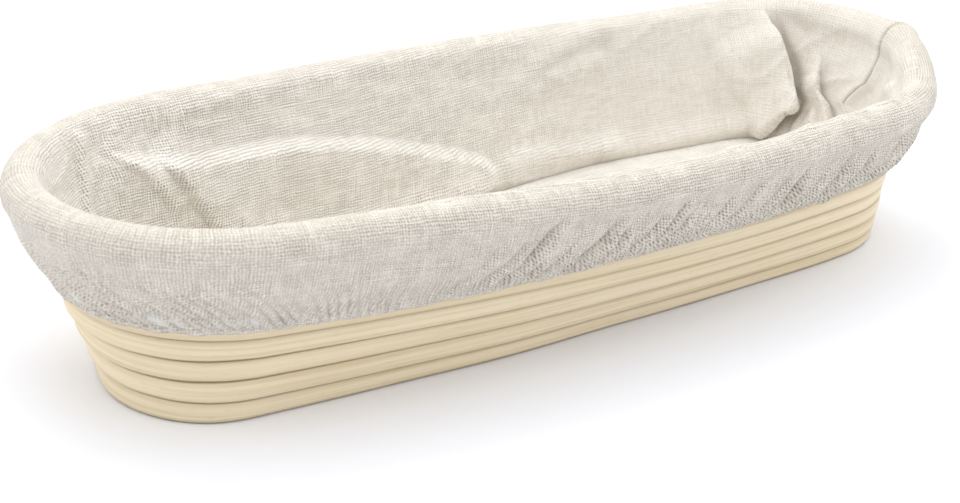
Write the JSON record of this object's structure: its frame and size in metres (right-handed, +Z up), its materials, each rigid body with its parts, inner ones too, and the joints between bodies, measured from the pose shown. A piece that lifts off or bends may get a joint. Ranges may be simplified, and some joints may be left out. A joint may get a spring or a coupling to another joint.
{
  "type": "proofing basket",
  "caption": "Oblong proofing basket of wound cane, with a cloth liner drawn over its rim and held by an elastic hem; it holds bread dough while the dough rises.",
  "frame": {"origin": "middle of the foot, on the surface that the basket stands on", "axes": "+Z up, out of the mouth; +X along the length; -Y is the long side that faces the camera"},
  "size_m": [0.3502, 0.136, 0.0663],
  "materials": {
    "cane": "bare peeled cane, fine lengthwise grain",
    "steel": "plain wire",
    "cloth": "plain-weave natural linen",
    "elastic": "covered flat elastic"
  },
  "bodies": {
    "basket": {"base_cane": "cane", "wall_cane_lower": "cane", "wall_cane_middle": "cane", "wall_cane_upper": "cane", "base_brads": "steel", "wall_brads": "steel"},
    "liner": {"liner_floor": "cloth", "liner_side": "cloth", "hem_elastic": "elastic"}
  },
  "joints": [
    {"name": "liner_lift", "type": "slide", "parent": "basket", "child": "liner", "axis": [0, 0, 1], "range_m": [0, 0.09], "deforming": ["liner_side", "hem_elastic"]}
  ]
}
